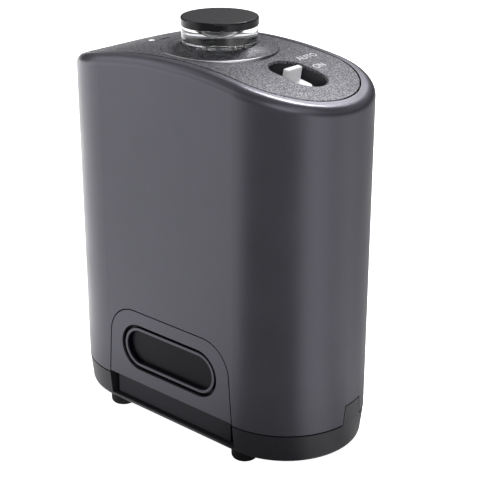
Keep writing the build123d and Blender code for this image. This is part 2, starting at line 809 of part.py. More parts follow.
# Press tongue: flush face with the oval recess, a set-back band below the seam, and hinge knuckles
latch_face = tongue_outline(-tongue_gap, housing_bottom)
band_half = tongue_foot_half - band_inset
band_back = half_depth - band_setback - tongue_thickness
with BuildPart() as release_latch:
    extrude(latch_face, amount=-tongue_thickness)
    face_foot = release_latch.edges().filter_by(Axis.X).group_by(Axis.Y)[0].sort_by(Axis.Z)[0]
    fillet(face_foot, tongue_edge)
    with BuildSketch(Plane.YZ):
        with BuildLine():
            Polyline(
                (-half_depth + band_setback, housing_bottom),
                (-half_depth + band_setback, band_foot),
                (-band_back, band_foot),
                (-half_depth + tongue_thickness, housing_bottom),
                close=True,
            )
        make_face()
    extrude(amount=band_half, both=True)
    # Stop lip behind the housing wall
    with BuildSketch(Plane.YZ):
        with BuildLine():
            lip_front = -half_depth + wall + slide_clearance
            lip_back = lip_front + lip_thickness
            Polyline(
                (lip_front, tongue_top - tongue_gap - lip_rise),
                (lip_front, tongue_top + lip_rise),
                (lip_back, tongue_top + lip_rise),
                (lip_back, tongue_top - tongue_gap - lip_root),
                close=True,
            )
        make_face()
    extrude(amount=lip_half, both=True)
    # Knuckles on the pin
    for centre in (-knuckle_x, knuckle_x):
        with BuildSketch(Plane.YZ.offset(centre)):
            with BuildLine():
                Polyline(
                    (pin_y, pin_z + knuckle_radius),
                    (-band_back, pin_z + knuckle_radius),
                    (-band_back - band_setback / 2, band_foot + lug_gap),
                    (pin_y, pin_z - knuckle_radius),
                    close=True,
                )
            make_face()
            with Locations((pin_y, pin_z)):
                Circle(knuckle_radius)
        extrude(amount=knuckle_width / 2, both=True)
        with BuildSketch(Plane.YZ.offset(centre)):
            with Locations((pin_y, pin_z)):
                Circle(pin_radius + pin_clearance)
        extrude(amount=knuckle_width, both=True, mode=Mode.SUBTRACT)
    # Oval: groove, thin raised ring and sunk field
    for shrink, depth in ((0, oval_groove_depth), (oval_groove_width + oval_ring_width, oval_field_depth)):
        with BuildSketch(Plane.XZ.offset(half_depth)):
            with Locations((0, oval_centre)):
                SlotOverall(oval_length - 2 * shrink, oval_height - 2 * shrink)
        extrude(amount=-depth, mode=Mode.SUBTRACT)
    with BuildSketch(Plane.XZ.offset(half_depth - oval_groove_depth)):
        with Locations((0, oval_centre)):
            SlotOverall(oval_length - 2 * oval_groove_width, oval_height - 2 * oval_groove_width)
            ring_inner = oval_groove_width + oval_ring_width
            SlotOverall(oval_length - 2 * ring_inner, oval_height - 2 * ring_inner, mode=Mode.SUBTRACT)
    extrude(amount=oval_groove_depth - oval_ring_depth)
release_latch.part.label = "release_latch"
export_step(release_latch.part, "parts/release_latch.step")

# Four rubber feet
foot_places = [(x, y) for y in (-foot_y, foot_y) for x in (-foot_x, foot_x)]
for number, place in enumerate(foot_places, start=1):
    with BuildPart() as rubber_foot:
        with BuildSketch(Plane((place[0], place[1], 0))):
            Circle(foot_radius)
        extrude(amount=base_bottom + foot_seat)
        fillet(rubber_foot.faces().sort_by(Axis.Z)[0].edges(), foot_fillet)
    rubber_foot.part.label = f"rubber_foot_{number}"
    export_step(rubber_foot.part, f"parts/rubber_foot_{number}.step")
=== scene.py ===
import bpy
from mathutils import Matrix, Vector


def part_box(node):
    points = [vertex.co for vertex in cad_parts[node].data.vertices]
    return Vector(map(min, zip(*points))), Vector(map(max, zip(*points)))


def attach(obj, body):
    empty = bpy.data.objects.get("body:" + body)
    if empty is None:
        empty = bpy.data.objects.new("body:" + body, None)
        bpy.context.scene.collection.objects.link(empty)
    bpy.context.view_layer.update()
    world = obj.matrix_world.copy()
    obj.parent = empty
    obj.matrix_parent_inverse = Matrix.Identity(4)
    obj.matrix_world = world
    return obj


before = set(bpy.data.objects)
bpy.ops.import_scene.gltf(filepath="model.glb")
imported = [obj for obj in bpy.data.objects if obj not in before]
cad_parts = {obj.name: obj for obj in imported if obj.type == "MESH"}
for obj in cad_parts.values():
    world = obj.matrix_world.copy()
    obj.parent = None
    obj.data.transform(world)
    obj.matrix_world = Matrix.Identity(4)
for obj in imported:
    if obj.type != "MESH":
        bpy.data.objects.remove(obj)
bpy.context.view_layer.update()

import math

import bmesh
import bpy
from bpy.props import FloatProperty, FloatVectorProperty, PointerProperty
from mathutils import Matrix, Vector

bl_info = {
    "name": "Virtual Wall Beacon",
    "version": (1, 0, 0),
    "blender": (4, 5, 0),
    "location": "View3D > Sidebar > Beacon",
    "description": "Dresses the beacon's solids with finishes, printed marks and a studio stage",
    "category": "Object",
}

MM = 0.001
PANEL_TAB = "Beacon"

# Places of the case that printed marks and finishes follow, read from the solids
crown_radius = 153.0 * MM
panel_crown = 117.2 * MM
arch_centre = panel_crown - crown_radius
pedestal_radius = 17.2 * MM
end_centre = 26.0 * MM
end_radius = 24.0 * MM
oval_edge = 0.8 * MM
# Side of the pedestal's rim that gets the painted highlight
highlight_side = (0.5, -0.87, 0.0)

# Soft lights: name, azimuth and elevation in degrees, then distance, width and height in metres
studio_lights = (
    ("left", -52.0, 20.0, 0.6, 0.45, 0.5),
    ("right", 72.0, 10.0, 0.5, 0.12, 0.5),
    ("key", 196.0, 56.0, 0.6, 0.15, 0.15),
    ("front", -70.0, 47.0, 0.6, 0.25, 0.25),
    ("side", 80.0, 50.0, 0.6, 0.25, 0.25),
    ("fill", 42.0, 30.0, 0.8, 0.5, 0.5),
)
light_aim = Vector((0.0, 0.0, 60.0 * MM))
floor_reach = 3.0

# Table light by degrees round the switch end, 0 in front of the tongue
table_levels = (
    (-180, 0.25), (-150, 0.3), (-128, 1.0), (-85, 0.85), (-45, 0.6), (-28, 0.52), (-13, 0.1),
    (50, 0.1), (66, 0.62), (86, 0.62), (100, 0.4), (125, 0.55), (150, 0.3), (180, 0.25),
)

# Room light by the sine of the elevation
room_levels = ((0.0, 0.02), (0.3, 0.03), (0.45, 0.5), (0.54, 0.5), (0.62, 0.06), (1.0, 0.08))


def colour_property(name, description, default):
    """Linear colour that a user may change."""
    return FloatVectorProperty(
        name=name, description=description, subtype="COLOR", size=3, min=0.0, max=1.0, default=default
    )


def length_property(name, description, default):
    """Length in metres that a user may change."""
    return FloatProperty(name=name, description=description, unit="LENGTH", default=default, precision=5)


def place_property(name, description, default):
    """Point in metres that a user may change."""
    return FloatVectorProperty(
        name=name, description=description, subtype="TRANSLATION", unit="LENGTH", size=3, default=default
    )


def power_property(name, description, default):
    """Light power in watts that a user may change."""
    return FloatProperty(name=name, description=description, unit="POWER", default=default, min=0.0)


def level_property(name, description, default):
    """Plain strength that a user may change."""
    return FloatProperty(name=name, description=description, default=default, min=0.0)


class BeaconSizes(bpy.types.PropertyGroup):
    """Sizes and places of the printed marks."""

    print_depth: length_property("Print depth", "How far the ink stands above the panel", 0.03 * MM)
    legend_height: length_property("Legend height", "Height of a capital letter", 2.3 * MM)
    auto_baseline: length_property("First legend", "Place of the first legend's baseline along X", 23.4 * MM)
    auto_start: length_property("First legend start", "Start of the first legend along Y", 8.0 * MM)
    auto_length: length_property("First legend length", "Length of the first legend", 8.2 * MM)
    on_baseline: length_property("Second legend", "Place of the second legend's baseline along X", 29.7 * MM)
    on_start: length_property("Second legend start", "Start of the second legend along Y", 7.7 * MM)
    on_length: length_property("Second legend length", "Length of the second legend", 4.3 * MM)
    mark_x: length_property("Cell mark X", "Place of the cell mark along X", -25.7 * MM)
    mark_y: length_property("Cell mark Y", "Place of the cell mark along Y", 3.1 * MM)
    mark_length: length_property("Cell mark length", "Length of the cell mark", 2.6 * MM)
    mark_height: length_property("Cell mark height", "Height of the cell mark", 1.5 * MM)
    mark_line: length_property("Cell mark line", "Line width of the cell mark", 0.42 * MM)


class BeaconColours(bpy.types.PropertyGroup):
    """Colours of the finishes."""

    case: colour_property("Case", "Satin charcoal of the case and the tongue", (0.088, 0.086, 0.103))
    # Painted shade: the tongue's sunk oval and the band below its foot line are darkened where shade falls in them
    painted_oval_shade: colour_property("Sunk", "Darker charcoal of the tongue's oval", (0.005, 0.0046, 0.0072))
    painted_foot_shade: colour_property("Foot band", "Dark charcoal of the tongue's foot", (0.021, 0.0205, 0.026))
    panel: colour_property("Panel", "Dark ground of the speckled top panel", (0.032, 0.0315, 0.0375))
    fleck: colour_property("Fleck", "Bright flecks of the top panel", (0.265, 0.26, 0.285))
    # Painted highlight: bright colour on the pedestal's rim where light catches its rounded edge
    painted_rim_highlight: colour_property("Rubbed", "Bright rubbed rim of the pedestal", (0.8, 0.79, 0.83))
    base: colour_property("Base", "Dark satin of the base", (0.027, 0.0263, 0.0325))
    cap: colour_property("Cap", "Gloss black of the emitter cap", (0.013, 0.0125, 0.015))
    cap_top: colour_property("Cap top", "Satin black of the cap's top", (0.005, 0.0048, 0.007))
    lens: colour_property("Lens", "Clear plastic of the emitter ring", (0.97, 0.98, 1.0))
    reflector: colour_property("Reflector", "Bright finish of the plug under the cap", (0.9, 0.9, 0.92))
    knob: colour_property("Knob", "Pale grey of the slide switch", (0.78, 0.77, 0.79))
    rubber: colour_property("Rubber", "Black of the feet", (0.006, 0.006, 0.0065))
    ink: colour_property("Ink", "Pale ink of the legends", (0.6, 0.6, 0.62))
    dark_ink: colour_property("Dark ink", "Dark ink of the cell mark", (0.012, 0.012, 0.014))
    board: colour_property("Board", "Green lacquer of the circuit board", (0.012, 0.085, 0.035))
    sleeve: colour_property("Sleeve", "Dark sleeve of the cells", (0.02, 0.021, 0.024))
    copper: colour_property("Copper", "Band round the cells", (0.42, 0.19, 0.085))
    guide: colour_property("Guide", "Black of the switch guide", (0.024, 0.023, 0.028))
    pipe: colour_property("Light pipe", "Milky white of the indicator", (0.96, 0.96, 0.98))
    inner: colour_property("Inner", "Black of the mouldings inside", (0.012, 0.012, 0.013))
    small_led: colour_property("Small light", "White of the indicator's light source", (0.8, 0.8, 0.76))
    window: colour_property("Window", "Deep red-black of the beam window", (0.02, 0.004, 0.012))
    steel: colour_property("Steel", "Plated steel of contacts and screws", (0.58, 0.57, 0.55))


class BeaconStage(bpy.types.PropertyGroup):
    """Camera, lights and floor."""

    camera_place: place_property("Camera", "Place of the camera", (246.0 * MM, -268.1 * MM, 203.2 * MM))
    camera_aim: place_property("Aim", "Point that the camera looks at", (7.78 * MM, 0.0, 59.23 * MM))
    focal: FloatProperty(name="Focal length", description="Focal length in millimetres", default=96.4, min=10.0)
    floor: colour_property("Floor", "Pale studio floor", (0.93, 0.93, 0.93))
    floor_glow: level_property("Floor glow", "Lift of the floor to white", 0.94)
    table_light: level_property("Table light", "Light that the table throws back", 2.5)
    room_light: level_property("Room light", "Strength of the room's bright band", 1.1)
    left_power: power_property("Left light", "Power of the broad light left of the tongue", 1.15)
    right_power: power_property("Right light", "Power of the tall light at the switch end", 0.12)
    key_power: power_property("Key light", "Power of the high light behind", 4.1)
    front_power: power_property("Front light", "Power of the high light left of the tongue", 0.25)
    fill_power: power_property("Fill light", "Power of the broad light on the camera's side", 1.8)
    side_power: power_property("Side light", "Power of the high light at the switch end", 0.32)


def place(tree, kind, inputs=None, **settings):
    """Adds a node to a tree, sets its options, and joins or sets its inputs."""
    node = tree.nodes.new(kind)
    for name, value in settings.items():
        setattr(node, name, value)
    for key, value in (inputs or {}).items():
        if isinstance(value, bpy.types.NodeSocket):
            tree.links.new(value, node.inputs[key])
        else:
            node.inputs[key].default_value = value
    return node


def calc(tree, operation, first, second=0.0):
    """Result of a math node on one or two values."""
    return place(tree, "ShaderNodeMath", {0: first, 1: second}, operation=operation).outputs[0]


def blend_colours(tree, factor, low, high):
    """Mix of two colours by a mask; each colour is a socket or a triple."""
    mix = place(tree, "ShaderNodeMix", data_type="RGBA")
    tree.links.new(factor, mix.inputs[0])
    for slot, value in ((6, low), (7, high)):
        if isinstance(value, bpy.types.NodeSocket):
            tree.links.new(value, mix.inputs[slot])
        else:
            mix.inputs[slot].default_value = (*value, 1.0)
    return mix.outputs[2]


def stretch(tree, value, low, high, start=0.0, end=1.0):
    """Value mapped from start..end to low..high."""
    inputs = {"Value": value, "From Min": start, "From Max": end, "To Min": low, "To Max": high}
    return place(tree, "ShaderNodeMapRange", inputs).outputs[0]


def ramp(tree, value, stops):
    """Grey ramp of a value through stops of place and level."""
    node = place(tree, "ShaderNodeValToRGB", {0: value})
    points = node.color_ramp.elements
    while len(points) < len(stops):
        points.new(1.0)
    for point, (at, level) in zip(points, stops):
        point.position = at
        point.color = (level, level, level, 1.0)
    return node.outputs["Color"]


def new_group(name, inputs, outputs):
    """Empty shader node group with named sockets; gives the group, its inputs and its output node."""
    group = bpy.data.node_groups.new(name, "ShaderNodeTree")
    for key, kind in inputs.items():
        group.interface.new_socket(name=key, in_out="INPUT", socket_type=kind)
    for key, kind in outputs.items():
        group.interface.new_socket(name=key, in_out="OUTPUT", socket_type=kind)
    return group, group.nodes.new("NodeGroupInput"), group.nodes.new("NodeGroupOutput")


def moulded_grain_group():
    """Fine moulded grain as a height, and a slow mottle of handling as a mask."""
    group, into, out = new_group(
        "moulded_grain",
        {"Vector": "NodeSocketVector", "Scale": "NodeSocketFloat"},
        {"Height": "NodeSocketFloat", "Mottle": "NodeSocketFloat"},
    )
    vector = into.outputs["Vector"]
    fine = place(group, "ShaderNodeTexNoise", {"Vector": vector, "Scale": into.outputs["Scale"], "Detail": 3.0})
    slow = place(group, "ShaderNodeTexNoise", {"Vector": vector, "Scale": 55.0, "Detail": 4.0, "Roughness": 0.6})
    group.links.new(fine.outputs[0], out.inputs["Height"])
    group.links.new(slow.outputs[0], out.inputs["Mottle"])
    return group


def metal_fleck_group():
    """Random brightness of small cells, as metal powder in a plastic shows."""
    group, into, out = new_group(
        "metal_fleck",
        {"Vector": "NodeSocketVector", "Scale": "NodeSocketFloat", "Share": "NodeSocketFloat"},
        {"Fleck": "NodeSocketFloat", "Height": "NodeSocketFloat"},
    )
    cells = place(
        group, "ShaderNodeTexVoronoi", {"Vector": into.outputs["Vector"], "Scale": into.outputs["Scale"]}
    )
    shade = place(group, "ShaderNodeSeparateColor", {"Color": cells.outputs["Color"]})
    lift = place(
        group,
        "ShaderNodeMapRange",
        {"Value": shade.outputs[0], "From Min": into.outputs["Share"], "From Max": 1.0, "To Min": 0.0, "To Max": 1.0},
    )
    group.links.new(lift.outputs[0], out.inputs["Fleck"])
    group.links.new(shade.outputs[1], out.inputs["Height"])
    return group


def drawn_metal_group():
    """Long fine scratches along Z, as drawn or rolled metal shows."""
    group, into, out = new_group("drawn_metal", {"Vector": "NodeSocketVector"}, {"Line": "NodeSocketFloat"})
    drawn = place(group, "ShaderNodeMapping", {"Vector": into.outputs["Vector"], "Scale": (1.0, 1.0, 0.04)})
    lines = place(group, "ShaderNodeTexNoise", {"Vector": drawn.outputs[0], "Scale": 4200.0, "Detail": 4.0})
    group.links.new(lines.outputs[0], out.inputs["Line"])
    return group


shared_groups = {}


def shared(name):
    """Node group of that name, built once."""
    builders = {
        "moulded_grain": moulded_grain_group,
        "metal_fleck": metal_fleck_group,
        "drawn_metal": drawn_metal_group,
    }
    if name not in shared_groups:
        shared_groups[name] = builders[name]()
    return shared_groups[name]


def use_group(tree, name, inputs):
    """Places a shared node group in a material."""
    return place(tree, "ShaderNodeGroup", inputs, node_tree=shared(name))


class Finish:
    """A material under way: its tree, its shader and the object coordinates."""

    def __init__(self, name, **constants):
        self.material = bpy.data.materials.new(name)
        self.material.use_nodes = True
        self.tree = self.material.node_tree
        self.shader = self.tree.nodes["Principled BSDF"]
        self.place_on_part = place(self.tree, "ShaderNodeTexCoord").outputs["Object"]
        for key, value in constants.items():
            self.shader.inputs[key.replace("_", " ")].default_value = value

    def feed(self, socket, value):
        """Joins a value to one of the shader's sockets."""
        self.tree.links.new(value, self.shader.inputs[socket])

    def height(self, value, distance, strength=1.0):
        """Joins a height to the shader's normal through a bump."""
        bump = place(self.tree, "ShaderNodeBump", {"Height": value, "Distance": distance, "Strength": strength})
        self.feed("Normal", bump.outputs[0])

    def axis(self, letter):
        """One object coordinate."""
        return place(self.tree, "ShaderNodeSeparateXYZ", {"Vector": self.place_on_part}).outputs[letter]

    def way_from_axis(self):
        """Distance from the upright axis of the emitter."""
        level = {0: self.place_on_part, 1: (1.0, 1.0, 0.0)}
        flat = place(self.tree, "ShaderNodeVectorMath", level, operation="MULTIPLY")
        return place(self.tree, "ShaderNodeVectorMath", {0: flat.outputs[0]}, operation="LENGTH").outputs["Value"]

    def step(self, value, edge, soft):
        """Mask that goes from 0 below an edge to 1 above it over a soft width."""
        return stretch(self.tree, value, 0.0, 1.0, edge - soft / 2, edge + soft / 2)


def tint(colour, share):
    """Colour made lighter or darker by a share."""
    return tuple(channel * share for channel in colour)


def moulded_finish(name, colour, rough, spread=0.05, grain=2600.0, depth=0.012 * MM, shade=0.12, **constants):
    """Moulded plastic: fine grain, slow mottle of colour and gloss."""
    finish = Finish(name, **constants)
    tree = finish.tree
    grain_node = use_group(tree, "moulded_grain", {"Vector": finish.place_on_part, "Scale": grain})
    mottle = grain_node.outputs["Mottle"]
    finish.feed("Base Color", blend_colours(tree, mottle, tint(colour, 1 - shade), tint(colour, 1 + shade)))
    finish.feed("Roughness", stretch(tree, mottle, rough - spread, rough + spread, 0.25, 0.75))
    finish.height(grain_node.outputs["Height"], depth)
    return finish


def case_finish(name, colours):
    """Satin charcoal of the case and the press tongue."""
    return moulded_finish(name, colours.case, rough=0.34, Metallic=0.6, Specular_IOR_Level=0.2)


def tongue_finish(colours, front, foot):
    """Satin charcoal of the press tongue, with painted shade in its sunk oval and below its foot line."""
    finish = case_finish("tongue_satin", colours)
    tree = finish.tree
    face = finish.shader.inputs["Base Color"].links[0].from_socket
    # Painted shade in the sunk oval, deeper than its edge behind the tongue's face
    deep = finish.step(finish.axis("Y"), front + oval_edge, 0.3 * MM)
    # Painted shade below the tongue's foot line
    above = finish.step(finish.axis("Z"), foot, 0.1 * MM)
    below = calc(tree, "SUBTRACT", 1.0, above)
    painted_oval_shade = blend_colours(tree, deep, face, tuple(colours.painted_oval_shade))
    finish.feed("Base Color", blend_colours(tree, below, painted_oval_shade, tuple(colours.painted_foot_shade)))
    return finish.material


def rim_highlight_mask(finish):
    """Mask of the painted highlight on the front of the pedestal's rounded rim, where light catches the edge."""
    tree = finish.tree
    radius = finish.way_from_axis()
    inside = finish.step(radius, pedestal_radius - 0.42 * MM, 0.2 * MM)
    outside = finish.step(radius, pedestal_radius + 0.02 * MM, 0.02 * MM)
    ring = calc(tree, "SUBTRACT", inside, outside)
    along = {0: finish.place_on_part, 1: highlight_side}
    reach = place(tree, "ShaderNodeVectorMath", along, operation="DOT_PRODUCT")
    # The painted highlight fades in towards the front side of the rim
    lit_side = stretch(tree, reach.outputs["Value"], 0.0, 1.0, 9 * MM, 16 * MM)
    return calc(tree, "MULTIPLY", ring, lit_side)


def panel_finish(colours):
    """Metallic speckle of the top panel, with a painted highlight on the front of the pedestal's rim."""
    finish = Finish("panel_speckle", Metallic=0.3, Specular_IOR_Level=0.12)
    tree = finish.tree
    grain = use_group(tree, "moulded_grain", {"Vector": finish.place_on_part, "Scale": 1800.0})
    fleck = use_group(tree, "metal_fleck", {"Vector": finish.place_on_part, "Scale": 5000.0, "Share": 0.5})
    ground = blend_colours(tree, grain.outputs["Mottle"], tint(colours.panel, 0.85), tint(colours.panel, 1.15))
    speckled = blend_colours(tree, fleck.outputs["Fleck"], ground, tuple(colours.fleck))
    # Painted highlight on the front of the pedestal's rim
    finish.feed("Base Color", blend_colours(tree, rim_highlight_mask(finish), speckled, tuple(colours.painted_rim_highlight)))
    finish.feed("Roughness", stretch(tree, fleck.outputs["Fleck"], 0.42, 0.32))
    finish.height(fleck.outputs["Height"], 0.011 * MM)
    return finish.material


def cap_finish(colours, top_height):
    """Gloss black cap with a satin top."""
    finish = Finish("cap_gloss", Specular_IOR_Level=0.2)
    tree = finish.tree
    grain = use_group(tree, "moulded_grain", {"Vector": finish.place_on_part, "Scale": 3000.0})
    top = finish.step(finish.axis("Z"), top_height - 0.05 * MM, 0.04 * MM)
    worn = blend_colours(tree, grain.outputs["Mottle"], tint(colours.cap_top, 0.9), tint(colours.cap_top, 1.1))
    finish.feed("Base Color", blend_colours(tree, top, tuple(colours.cap), worn))
    finish.feed("Roughness", stretch(tree, top, 0.14, 0.68))
    finish.height(calc(tree, "MULTIPLY", grain.outputs["Height"], top), 0.01 * MM)
    return finish.material


def lens_finish(name, colours, rough, frost_top=0.0, ripple_top=0.0, ripple_depth=0.05 * MM):
    """Clear moulded plastic with faint flow marks, frosted where light enters below, rippled along its foot."""
    finish = Finish(name, Transmission_Weight=1.0, IOR=1.49, Metallic=0.0)
    grain = use_group(finish.tree, "moulded_grain", {"Vector": finish.place_on_part, "Scale": 420.0})
    tinted = blend_colours(finish.tree, grain.outputs["Mottle"], tint(colours.lens, 0.97), tuple(colours.lens))
    finish.feed("Base Color", tinted)
    polished = stretch(finish.tree, grain.outputs["Mottle"], rough * 0.5, rough * 1.5)
    clear = finish.step(finish.axis("Z"), frost_top, 0.1 * MM)
    frosted = calc(finish.tree, "SUBTRACT", 1.0, clear)
    rough_frost = place(finish.tree, "ShaderNodeMath", {0: frosted, 1: 0.55, 2: polished}, operation="MULTIPLY_ADD")
    finish.feed("Roughness", rough_frost.outputs[0])
    smooth = finish.step(finish.axis("Z"), ripple_top, 0.5 * MM)
    rippled = calc(finish.tree, "SUBTRACT", 1.0, smooth)
    finish.height(calc(finish.tree, "MULTIPLY", rippled, grain.outputs["Height"]), ripple_depth)
    return finish.material


def steel_finish(colours):
    """Plated spring steel with drawing lines."""
    finish = Finish("plated_steel", Metallic=1.0)
    tree = finish.tree
    line = use_group(tree, "drawn_metal", {"Vector": finish.place_on_part}).outputs["Line"]
    finish.feed("Base Color", blend_colours(tree, line, tint(colours.steel, 0.8), tint(colours.steel, 1.15)))
    finish.feed("Roughness", stretch(tree, line, 0.2, 0.42))
    finish.height(line, 0.004 * MM)
    return finish.material


def board_finish(colours):
    """Green lacquer over copper tracks."""
    finish = Finish("board_lacquer")
    tree = finish.tree
    tracks = place(
        tree,
        "ShaderNodeTexBrick",
        {"Vector": finish.place_on_part, "Scale": 260.0, "Mortar Size": 0.09, "Brick Width": 1.6, "Row Height": 0.5},
    )
    under = blend_colours(tree, tracks.outputs["Fac"], tuple(colours.board), tint(colours.board, 1.9))
    finish.feed("Base Color", under)
    grain = use_group(tree, "moulded_grain", {"Vector": finish.place_on_part, "Scale": 1500.0})
    finish.feed("Roughness", stretch(tree, grain.outputs["Mottle"], 0.24, 0.4))
    finish.height(tracks.outputs["Fac"], 0.02 * MM)
    return finish.material


def sleeve_finish(colours, low, high):
    """Printed cell sleeve with a copper band at one end and bare steel ends."""
    finish = Finish("cell_sleeve")
    tree = finish.tree
    height = finish.axis("Z")
    band = finish.step(height, low + (high - low) * 0.74, 0.1 * MM)
    ends_low = finish.step(height, low + 2.2 * MM, 0.05 * MM)
    ends_high = finish.step(height, high - 2.2 * MM, 0.05 * MM)
    inside = calc(tree, "SUBTRACT", ends_low, ends_high)
    grain = use_group(tree, "moulded_grain", {"Vector": finish.place_on_part, "Scale": 900.0})
    sleeve = blend_colours(tree, grain.outputs["Mottle"], tint(colours.sleeve, 0.85), tint(colours.sleeve, 1.15))
    printed = blend_colours(tree, band, sleeve, tuple(colours.copper))
    finish.feed("Base Color", blend_colours(tree, inside, tuple(colours.steel), printed))
    finish.feed("Metallic", stretch(tree, inside, 1.0, 0.15))
    finish.feed("Roughness", stretch(tree, grain.outputs["Mottle"], 0.22, 0.36))
    return finish.material


def wear(node, material):
    """Gives a CAD node its finish."""
    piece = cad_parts[node]
    for slot in piece.material_slots:
        slot.material = material
    if not piece.material_slots:
        piece.data.materials.append(material)


def arch_height(x):
    """Height of the arched panel at x."""
    return arch_centre + math.sqrt(crown_radius ** 2 - x ** 2)


def panel_frame(x, y):
    """Frame on the panel at a place: its X reads along +Y, its Y points to -X, its Z out of the panel."""
    lean = math.asin(x / crown_radius)
    columns = Matrix((
        (0.0, -math.cos(lean), math.sin(lean)),
        (1.0, 0.0, 0.0),
        (0.0, math.sin(lean), math.cos(lean)),
    ))
    return Matrix.Translation((x, y, arch_height(x))) @ columns.to_4x4()


def finished_piece(name, mesh, material, body):
    """Object at the origin for a finished mesh, with its finish, riding on a body."""
    piece = bpy.data.objects.new(name, mesh)
    bpy.context.scene.collection.objects.link(piece)
    mesh.materials.clear()
    mesh.materials.append(material)
    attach(piece, body)
    return piece


def bmesh_piece(name, form, material, body):
    """Piece from a finished bmesh, which is freed."""
    mesh = bpy.data.meshes.new(name)
    form.to_mesh(mesh)
    form.free()
    return finished_piece(name, mesh, material, body)


def printed_word(name, word, baseline, start, length, sizes, material):
    """Word of raised ink on the panel, from a start along +Y, stretched to a length."""
    curve = bpy.data.curves.new(name, "FONT")
    curve.body = word
    curve.extrude = sizes.print_depth
    curve.resolution_u = 4
    holder = bpy.data.objects.new(name, curve)
    bpy.context.scene.collection.objects.link(holder)
    depsgraph = bpy.context.evaluated_depsgraph_get()
    mesh = bpy.data.meshes.new_from_object(holder.evaluated_get(depsgraph))
    bpy.data.objects.remove(holder)
    bpy.data.curves.remove(curve)
    xs = [vertex.co.x for vertex in mesh.vertices]
    ys = [vertex.co.y for vertex in mesh.vertices]
    fit = Matrix.Diagonal((length / (max(xs) - min(xs)), sizes.legend_height / (max(ys) - min(ys)), 1.0, 1.0))
    mesh.transform(panel_frame(baseline, start) @ fit @ Matrix.Translation((-min(xs), -min(ys), 0.0)))
    return finished_piece(name, mesh, material, "housing")


class BeaconOperator:
    """What the beacon's operators share."""

    bl_options = {"REGISTER", "UNDO"}


class BEACON_OT_case(BeaconOperator, bpy.types.Operator):
    """Finishes the case, the press tongue and the base"""

    bl_idname = "beacon.case"
    bl_label = "Case and base"

    def execute(self, context):
        colours = context.scene.beacon_colours
        wear("housing", case_finish("case_satin", colours).material)
        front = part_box("release_latch")[0][1]
        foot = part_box("housing")[0][2]
        wear("release_latch", tongue_finish(colours, front, foot))
        wear("base_cover", moulded_finish("base_satin", colours.base, 0.38, Metallic=0.3).material)
        return {"FINISHED"}


class BEACON_OT_panel(BeaconOperator, bpy.types.Operator):
    """Finishes the speckled top panel"""

    bl_idname = "beacon.panel"
    bl_label = "Top panel"

    def execute(self, context):
        wear("top_panel", panel_finish(context.scene.beacon_colours))
        return {"FINISHED"}


class BEACON_OT_emitter(BeaconOperator, bpy.types.Operator):
    """Finishes the clear ring, its cap and the light source inside"""

    bl_idname = "beacon.emitter"
    bl_label = "Halo emitter"

    def execute(self, context):
        colours = context.scene.beacon_colours
        frost_top = panel_crown + 0.6 * MM
        ripple_top = panel_crown + 2.2 * MM
        wear("emitter_lens", lens_finish("lens_clear", colours, 0.02, frost_top, ripple_top, 0.5 * MM))
        # Light that dull surfaces throw back passes the clear block unbent, so the cap's shade stays dark
        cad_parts["emitter_lens"].visible_diffuse = False
        wear("emitter_cap", cap_finish(colours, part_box("emitter_cap")[1][2]))
        plug = moulded_finish(
            "plug_bright", colours.reflector, rough=0.16, grain=900.0, depth=0.004 * MM, Metallic=0.5
        )
        wear("reflector_plug", plug.material)
        wear("led_holder", moulded_finish("holder_white", colours.reflector, 0.4, shade=0.04).material)
        wear("halo_led", lens_finish("led_epoxy", colours, 0.06))
        return {"FINISHED"}


class BEACON_OT_switch(BeaconOperator, bpy.types.Operator):
    """Finishes the slide switch, its guide and the legends beside it"""

    bl_idname = "beacon.switch"
    bl_label = "Slide switch"

    def execute(self, context):
        colours = context.scene.beacon_colours
        sizes = context.scene.beacon_sizes
        knob = moulded_finish("knob_satin", colours.knob, rough=0.55, shade=0.05, Specular_IOR_Level=0.1)
        wear("switch_knob", knob.material)
        wear("switch_guide", moulded_finish("guide_black", colours.guide, 0.5).material)
        ink = moulded_finish("pale_ink", colours.ink, 0.55, shade=0.1).material
        printed_word("legend_auto", "AUTO", sizes.auto_baseline, sizes.auto_start, sizes.auto_length, sizes, ink)
        printed_word("legend_on", "ON", sizes.on_baseline, sizes.on_start, sizes.on_length, sizes, ink)
        return {"FINISHED"}


